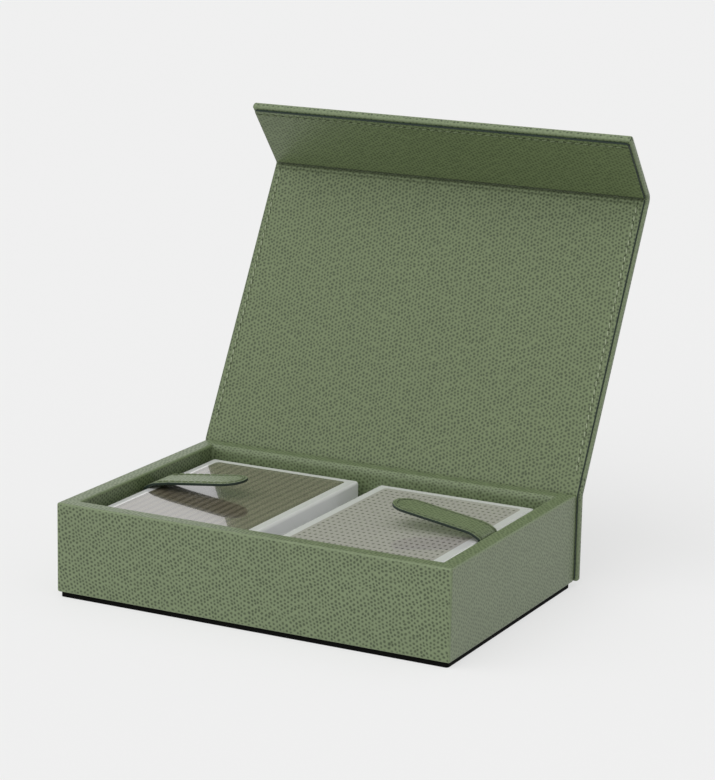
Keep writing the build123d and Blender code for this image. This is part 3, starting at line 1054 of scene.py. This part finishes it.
coat(paper_edges(), "left_cards", "right_cards")
PRINTS = {
    "left": (display(126, 119, 102), display(89, 83, 71), False, "olive_carton"),
    "right": (display(197, 193, 188), display(114, 110, 108), True, "grey_carton"),
}
for side, (ground, mark, dotted, slot) in PRINTS.items():
    node = side + "_box"
    box = start_block(side + "_carton", *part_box(node))
    round_edges(box, lambda edge: runs(edge, 2), CARTON_CORNER, segments=4)
    round_edges(box, is_sharp, CARTON_ROUND)
    done(box, carton(slot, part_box(node), ground, mark, dotted))
    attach(box, side + "_deck")
    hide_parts(node)

# Straps and pull tabs: two plies of leather sewn together, with dark painted edges.
# Each runs under its deck, up the outer side and over the top, and ends in a rounded tab.
# The soft tabs stand a little above the rim, where a closing lid would press them flat.

STRAP = 1.1 * MM
STRAP_ROUND = 0.25 * MM
STRAP_CORNER = 1.4 * MM
STRAP_SEAM = 1.4 * MM
STRAP_START = 1.0 * MM
STRAP_DIMPLE = display(82, 96, 64)
SIDE_FACING = 0.5
TOP_FACING = 0.6
BEND_STEP = radians(7)
SLACK_RADIUS = 50 * MM
SEWN_BEND = 6 * MM
TIP_FLAT = 0.02 * MM
TIP_SEGMENTS = 10
TAB_PITCH = 2.6 * MM
# The tab's pressed seam line: sunk, and painted dark as shade.
TAB_DIP_AND_SHADE = 0.8
TAB_PRESS_HALF = 0.8 * MM
HIDE_STOPS = 200
DECK_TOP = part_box("left_box")[1].z


class StrapLine:
    """A strap's middle line, in straight and round stretches from under its deck to the tab's tip.

    Its places are measured out from the box's middle, q, and up, z, by the distance along it."""

    def __init__(self, sign, mid_y, start):
        self.sign = sign
        self.mid_y = mid_y
        self.start = start
        self.stretches = []
        self.length = 0.0

    def straight(self, length):
        """Adds a straight stretch."""
        self.stretches.append((length, 0))
        self.length += length

    def bend(self, radius, degrees):
        """Adds a round stretch."""
        length = radius * radians(degrees)
        self.stretches.append((length, radians(degrees)))
        self.length += length

    def walk(self, distance):
        """The place q, z and the heading at a distance."""
        q, z, heading = self.start
        for length, turn in self.stretches:
            part = min(distance, length)
            angle = turn * part / length
            if turn:
                radius = length / turn
                q += radius * (sin(heading + angle) - sin(heading))
                z += radius * (cos(heading) - cos(heading + angle))
            else:
                q += part * cos(heading)
                z += part * sin(heading)
            heading += angle
            distance -= part
            if distance <= 0:
                break
        return q, z, heading

    def at(self, distance, across=0.0, lift=0.0):
        """The place at a distance, with the directions along the strap and above it there."""
        q, z, heading = self.walk(distance)
        along = Vector((self.sign * cos(heading), 0, sin(heading)))
        above = Vector((self.sign * sin(heading), 0, -cos(heading)))
        return Vector((self.sign * q, self.mid_y + across, z)) + above * lift, along, above

    def rings(self):
        """Distances where the strap gets a ring of corners, and how far their stretch turns."""
        reached = 0.0
        for length, turn in self.stretches:
            count = max(1, round(abs(turn) / BEND_STEP))
            for number in range(count):
                yield reached + length * (number + 1) / count, turn
            reached += length


def grow_strap(name, line, half_width):
    """A strap extruded along its line from a short block, with a round tip and softened edges."""
    first = line.at(0, -half_width, STRAP / 2)[0]
    last = line.at(STRAP_START, half_width, -STRAP / 2)[0]
    ends = list(zip(first, last))
    piece = start_block(name, [min(pair) for pair in ends], [max(pair) for pair in ends])
    pick(piece, "faces", lambda face: face.normal.x * line.sign > FACING)
    gone = STRAP_START
    for target, turn in line.rings():
        here = line.at(gone)[0]
        there = line.at(target)[0]
        bpy.ops.mesh.extrude_region_move(TRANSFORM_OT_translate={"value": there - here})
        if turn:
            turned = line.sign * (line.walk(target)[2] - line.walk(gone)[2])
            bpy.ops.transform.rotate(value=turned, orient_axis="Y", center_override=there)
        gone = target
    tip, tab_line, _ = line.at(line.length)

    def tip_corner(edge):
        gap = middle(edge) - tip
        return abs(gap.dot(tab_line)) < NEAR and abs(gap.y) > half_width - NEAR

    round_edges(piece, tip_corner, half_width - TIP_FLAT, TIP_SEGMENTS)
    round_edges(piece, is_sharp, STRAP_ROUND, segments=2)
    return piece


def tab_seam(round_start, seam_half):
    """The pressed line that a tab's stitches lie in: along both sides and round the tip, sunk and
    painted dark as shade.
    """

    def groove_and_shade(wire, hide):
        along, across, _ = hide.axes()
        past = (along - round_start).most(0.0)
        return TAB_DIP_AND_SHADE * pressed((past * past + across * across).root() - seam_half, TAB_PRESS_HALF)

    return groove_and_shade


def paint_strap(piece, line, half_width):
    """Paints the strap's long edges and the rounded end of its tab."""
    tip, tab_line, tab_above = line.at(line.length)

    def cut_edge(face):
        near_tip = (face.center - tip).dot(tab_line) > -half_width
        round_tip = near_tip and abs(face.normal.dot(tab_above)) < TOP_FACING
        return abs(face.normal.y) > SIDE_FACING or round_tip

    paint_edges(piece, cut_edge)


def strap_hide(line):
    """Unrolls a strap along its middle line."""
    distances = [line.length * number / HIDE_STOPS for number in range(HIDE_STOPS + 1)]
    stops = [(distance, line.at(distance)[0]) for distance in distances]

    def unroll(place, face):
        flat = Vector((place.x, line.mid_y, place.z))
        along = min(stops, key=lambda stop: (stop[1] - flat).length)[0]
        return (along, place.y - line.mid_y)

    return unroll


def open_piece(piece):
    """Makes a finished piece the only one selected, and goes into edit mode."""
    bpy.ops.object.select_all(action="DESELECT")
    piece.select_set(True)
    bpy.context.view_layer.objects.active = piece
    bpy.ops.object.mode_set(mode="EDIT")


def split_off(piece, name, test):
    """Cuts the faces that pass a test off a piece, as a piece of their own, and closes both ends."""
    open_piece(piece)
    pick(piece, "faces", test)
    bpy.ops.mesh.separate(type="SELECTED")
    bpy.ops.object.mode_set(mode="OBJECT")
    part = next(other for other in bpy.context.selected_objects if other != piece)
    part.name = name
    part.data.name = name
    for half in (piece, part):
        open_piece(half)
        pick(half, "edges", lambda edge: edge.is_boundary)
        bpy.ops.mesh.mark_sharp()
        bpy.ops.mesh.edge_face_add()
        bpy.ops.mesh.select_all(action="SELECT")
        bpy.ops.mesh.normals_make_consistent(inside=False)
        bpy.ops.object.mode_set(mode="OBJECT")
    return part


def stitch_places(line, bent, round_start, seam_half):
    """Where the stitches lie, along both sides and round the tip: the strap's, and the tab's."""
    spots = []
    for along in spaced(bent - SEWN_BEND, round_start, TAB_PITCH):
        for edge in (-1, 1):
            spots.append((along, edge * seam_half, 0.0))
    for angle in spaced(-pi / 2, pi / 2, TAB_PITCH / seam_half):
        spots.append((round_start + seam_half * cos(angle), seam_half * sin(angle), UPRIGHT + angle))
    on_strap = []
    on_tab = []
    for along, across, turn in spots:
        spot, forward, above = line.at(along, across, STRAP / 2 + PROUD)
        ahead = forward * cos(turn) + Vector((0, sin(turn), 0))
        placed = Matrix((ahead.cross(above), ahead, above)).transposed().to_4x4()
        placed.translation = spot
        (on_tab if along > bent else on_strap).append(placed)
    return on_strap, on_tab


# How each strap comes over its deck: where it starts to bend above the deck's top, the radius and
# the turn of its two bends, the rise that is left of the tab, and how near the middle its tip comes.
FOLDS = {
    "left": (-0.8 * MM, (1.0 * MM, 50), (10 * MM, 26), 6.8, 30.7 * MM),
    "right": (-0.2 * MM, (1.6 * MM, 55), (12 * MM, 26), 8.8, 31.2 * MM),
}
for side, sign in (("left", -1), ("right", 1)):
    lift, tight_bend, wide_bend, rise, tip_reach = FOLDS[side]
    low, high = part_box(side + "_strap")
    half_width = (high.y - low.y) / 2
    mid_y = (high.y + low.y) / 2
    outer = max(abs(low.x), abs(high.x)) - STRAP / 2
    stop = min(abs(low.x), abs(high.x))
    under = low.z + STRAP / 2
    bend_low = DECK_TOP + lift

    line = StrapLine(sign, mid_y, (stop, under, 0.0))
    line.straight(outer - STRAP_CORNER - stop)
    line.bend(STRAP_CORNER, 90)
    line.straight(bend_low - under - STRAP_CORNER)
    line.bend(*tight_bend)
    line.bend(*wide_bend)
    line.bend(SLACK_RADIUS, 90 - tight_bend[1] - wide_bend[1] - rise)
    bent = line.length
    root_q, root_z, _ = line.walk(bent)
    root, tab_line, _ = line.at(bent, 0.0, STRAP / 2)
    line.straight((root_q - tip_reach) / cos(radians(rise)))
    round_start = line.length - half_width
    seam_half = half_width - STRAP_SEAM

    strap = grow_strap(side + "_pull_strap", line, half_width)
    seam = tab_seam(round_start, seam_half)
    done(strap, leather(side + "_strap_leather", RIDGE, STRAP_DIMPLE, seam), painted_edge)
    paint_strap(strap, line, half_width)
    map_hide(strap, strap_hide(line))

    def past_root(face):
        """Whether a face lies on the straight tab, past the last bend."""
        return middle(face).z > bend_low and (middle(face) - root).dot(tab_line) > 0

    tab = split_off(strap, side + "_pull_tab", past_root)
    bend_end = Vector((sign * outer, mid_y, root_z - STRAP))
    side + "_deck"
    side + "_pull"
    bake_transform(strap)
    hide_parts(side + "_strap", side + "_strap_bend")
    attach(tab, side + "_pull")
    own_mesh(tab)
    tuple(root)
    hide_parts(side + "_tab", side + "_tab_backing")

    on_strap, on_tab = stitch_places(line, bent, round_start, seam_half)
    strap_stitches = sew(side + "_strap_stitches", on_strap)
    strap_stitches.data.materials[0] = moss_thread
    side + "_deck"
    side + "_pull"
    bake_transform(strap_stitches)
    tab_stitches = sew(side + "_tab_stitches", on_tab)
    tab_stitches.data.materials[0] = moss_thread
    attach(tab_stitches, side + "_pull")
    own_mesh(tab_stitches)
    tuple(root)

bpy.data.objects.remove(stitch)

# Studio: a pale floor that runs past the view, an even white surround, a soft key and an overhead light.
# The camera stands where the photograph was taken, turned by its small roll.

FLOOR_HALF = 8.0
FLOOR_LIGHT = 0.78
FLOOR_GLOW = 0.62
FLOOR_PATCH = 0.8
SURROUND_LIGHT = 0.45
WHITE = (1.0, 1.0, 1.0, 1.0)
BACKDROP = display(240, 240, 240)


def showing(wire):
    """1 for rays from the camera or off a glossy surface, which show the backdrop as it is."""
    path = wire.node("LightPath").socket.node
    kinds = ("Is Camera Ray", "Is Glossy Ray", "Is Transmission Ray")
    camera_ray, glossy_ray, clear_ray = [Wire(wire.tree, path.outputs[kind]) for kind in kinds]
    return camera_ray.most(glossy_ray).most(clear_ray)


bpy.ops.object.select_all(action="DESELECT")
bpy.ops.mesh.primitive_plane_add(size=2 * FLOOR_HALF)
floor = bpy.context.object
floor.name = "floor"
pale, wire, feed = new_finish("pale_floor", Specular_IOR_Level=0.0, Roughness=1.0)
mottle = wire.noise(wire.node("TexCoord", output="Object"), FLOOR_PATCH, detail=1)
paper_low = shade([FLOOR_LIGHT] * 3, 0.99)
paper_high = shade([FLOOR_LIGHT] * 3, 1.01)
feed("Base Color", mottle.blend(paper_low, paper_high))
paper = Wire(wire.tree, wire.tree.nodes["Principled BSDF"].outputs[0])
glow = wire.node("Emission", (), {"Color": WHITE, "Strength": 1.0})
surface = wire.node("MixShader", (), {0: FLOOR_GLOW * showing(wire), 1: paper, 2: glow})
wire.tree.links.new(surface.socket, wire.tree.nodes["Material Output"].inputs["Surface"])
floor.data.materials.append(pale)
floor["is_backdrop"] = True

scene = bpy.context.scene
scene.view_settings.view_transform = "Standard"
world = bpy.data.worlds.new("surround")
scene.world = world
world.use_nodes = True
world.node_tree.nodes.clear()
sky = Wire(world.node_tree)
light = sky.node("Background", (), {"Color": WHITE, "Strength": SURROUND_LIGHT})
backdrop = sky.node("Background", (), {"Color": BACKDROP, "Strength": 1.0})
mixed = sky.node("MixShader", (), {0: showing(sky), 1: light, 2: backdrop})
output = world.node_tree.nodes.new("ShaderNodeOutputWorld")
world.node_tree.links.new(mixed.socket, output.inputs["Surface"])

# Each lamp's power, and in degrees its width, its height above the floor and its side.
LAMPS = {"key": (1.28, 80, 38, -30), "overhead": (0.45, 90, 80, 30)}
for name, (energy, width, elevation, azimuth) in LAMPS.items():
    lamp_data = bpy.data.lights.new(name, "SUN")
    lamp_data.energy = energy
    lamp_data.angle = radians(width)
    lamp = bpy.data.objects.new(name, lamp_data)
    lamp.visible_glossy = False
    lamp.rotation_euler = (UPRIGHT - radians(elevation), 0, radians(azimuth))
    scene.collection.objects.link(lamp)

CAMERA_PLACE = (0.45553, -0.86643, 0.31192)
CAMERA_AZIMUTH = radians(26.962)
CAMERA_ELEVATION = radians(13.485)
CAMERA_ROLL = radians(1.1585)
FOCAL_PIXELS = 2765.05
PICTURE_HEIGHT = 780
SENSOR = 36
camera_data = bpy.data.cameras.new("camera")
camera_data.sensor_width = SENSOR
camera_data.lens = FOCAL_PIXELS * SENSOR / PICTURE_HEIGHT
camera = bpy.data.objects.new("camera", camera_data)
scene.collection.objects.link(camera)
camera.location = CAMERA_PLACE
aim = Matrix.Rotation(CAMERA_AZIMUTH, 3, "Z") @ Matrix.Rotation(UPRIGHT - CAMERA_ELEVATION, 3, "X")
camera.rotation_euler = (aim @ Matrix.Rotation(CAMERA_ROLL, 3, "Z")).to_euler()
scene.camera = camera

boxes = {"cad": cad_box, "visual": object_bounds()}
{name: [list(corner) for corner in box] for name, box in boxes.items()}
